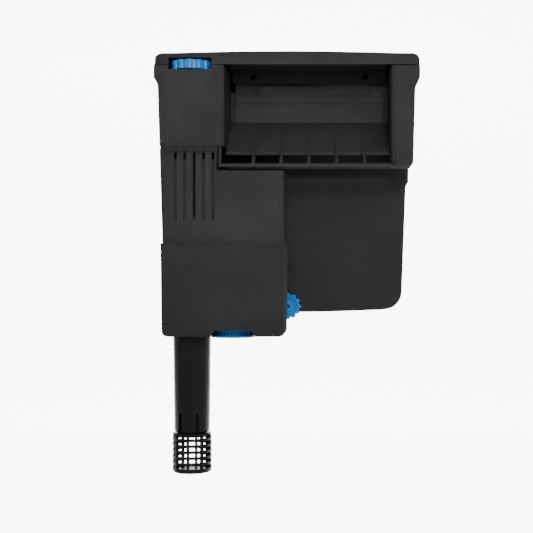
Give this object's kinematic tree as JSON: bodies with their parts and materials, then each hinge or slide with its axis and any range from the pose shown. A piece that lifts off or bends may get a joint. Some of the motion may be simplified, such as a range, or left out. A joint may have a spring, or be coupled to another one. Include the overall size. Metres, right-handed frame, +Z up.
{
  "type": "hang-on-back power filter",
  "caption": "Hang-on-back water filter with a lidded media case, spillway, surface skimmer, pump column, telescopic intake with strainer, and adjusting knobs.",
  "frame": {"origin": "centre of the flat underside of the saddle that rests on the tank rim", "axes": "+X right as seen from inside the tank, -Y into the tank, +Z up"},
  "size_m": [0.2546, 0.1935, 0.4033],
  "materials": {
    "shell_plastic": "satin moulded",
    "inner_plastic": "matt moulded",
    "panel_plastic": "matt moulded",
    "basket_plastic": "matt moulded",
    "tube_plastic": "smooth moulded",
    "blue_plastic": "smooth moulded",
    "white_plastic": "matt moulded",
    "rubber_black": "matt",
    "filter_foam": "open-cell foam",
    "media_mesh": "mesh bag of porous media",
    "shaft_ceramic": "polished",
    "magnet_ferrite": "ground",
    "core_steel": "laminated",
    "coil_copper": "varnished winding"
  },
  "bodies": {
    "case": {"rear_case": "shell_plastic", "chamber_divider": "inner_plastic", "weir_rails": "shell_plastic", "basket_stands": "inner_plastic", "foot_boss": "inner_plastic", "spillway_bridge": "shell_plastic", "spillway_fins": "shell_plastic", "right_cheek": "shell_plastic", "column_head": "shell_plastic", "channel_cover": "inner_plastic", "weir_panel": "panel_plastic", "cord_gland": "rubber_black", "riser_pipe": "inner_plastic", "skimmer_shroud": "shell_plastic", "skimmer_baffle": "panel_plastic"},
    "lid": {"lid": "shell_plastic"},
    "indicator": {"service_indicator": "blue_plastic"},
    "basket": {"media_basket": "basket_plastic", "basket_grate": "inner_plastic", "foam_pad": "filter_foam", "media_bag": "media_mesh"},
    "handle": {"basket_handle": "blue_plastic"},
    "flow_control": {"flow_knob": "blue_plastic", "flow_valve": "inner_plastic"},
    "pump": {"pump_cover": "shell_plastic", "intake_manifold": "inner_plastic", "volute_housing": "inner_plastic", "volute_seal": "rubber_black", "impeller_shaft": "shaft_ceramic", "front_bush": "rubber_black", "rear_bush": "rubber_black", "motor_housing": "inner_plastic", "motor_cap": "inner_plastic", "stator_core": "core_steel", "stator_coil": "coil_copper", "intake_tube": "tube_plastic"},
    "rotor": {"impeller": "white_plastic", "rotor_magnet": "magnet_ferrite"},
    "dial": {"intake_dial": "blue_plastic", "intake_shutter": "inner_plastic"},
    "extension": {"extension_tube": "tube_plastic", "strainer": "tube_plastic"},
    "level_foot": {"leveling_foot": "blue_plastic"},
    "level_knob": {"leveling_knob": "blue_plastic"}
  },
  "joints": [
    {"name": "lid_lift", "type": "slide", "parent": "case", "child": "lid", "axis": [0, 0, 1], "range_m": [0, 0.32]},
    {"name": "indicator_pop", "type": "slide", "parent": "lid", "child": "indicator", "axis": [0, 0, 1], "range_m": [0, 0.008]},
    {"name": "basket_lift", "type": "slide", "parent": "case", "child": "basket", "axis": [0, 0, 1], "range_m": [0, 0.24]},
    {"name": "handle_raise", "type": "hinge", "parent": "basket", "child": "handle", "pos_m": [0.026, 0.06, 0.05], "axis": [1, 0, 0], "range_deg": [0, 90]},
    {"name": "flow_knob_turn", "type": "hinge", "parent": "case", "child": "flow_control", "pos_m": [-0.092, -0.0458, 0.06], "axis": [0, 0, 1], "range_deg": [0, 90]},
    {"name": "pump_cover_slide", "type": "slide", "parent": "case", "child": "pump", "axis": [0, 0, -1], "range_m": [0, 0.09]},
    {"name": "impeller_spin", "type": "hinge", "parent": "pump", "child": "rotor", "pos_m": [-0.052, -0.044, -0.14], "axis": [0, 0, 1], "continuous": true},
    {"name": "intake_dial_turn", "type": "hinge", "parent": "pump", "child": "dial", "pos_m": [-0.052, -0.044, -0.185], "axis": [0, 0, 1], "range_deg": [0, 90]},
    {"name": "tube_extend", "type": "slide", "parent": "pump", "child": "extension", "axis": [0, 0, -1], "range_m": [0, 0.07]},
    {"name": "leveling_slide", "type": "slide", "parent": "case", "child": "level_foot", "axis": [0, -1, 0], "range_m": [0, 0.01]},
    {"name": "leveling_turn", "type": "hinge", "parent": "level_foot", "child": "level_knob", "pos_m": [-0.002, 0.007, -0.1655], "axis": [0, -1, 0], "range_deg": [0, 1440]}
  ],
  "couplings": [
    {"joint": "basket_lift", "follows": "lid_lift", "ratio": 0.75},
    {"joint": "handle_raise", "follows": "lid_lift", "rad_per_m": 4.9},
    {"joint": "leveling_slide", "follows": "leveling_turn", "m_per_rad": 0.000397}
  ]
}
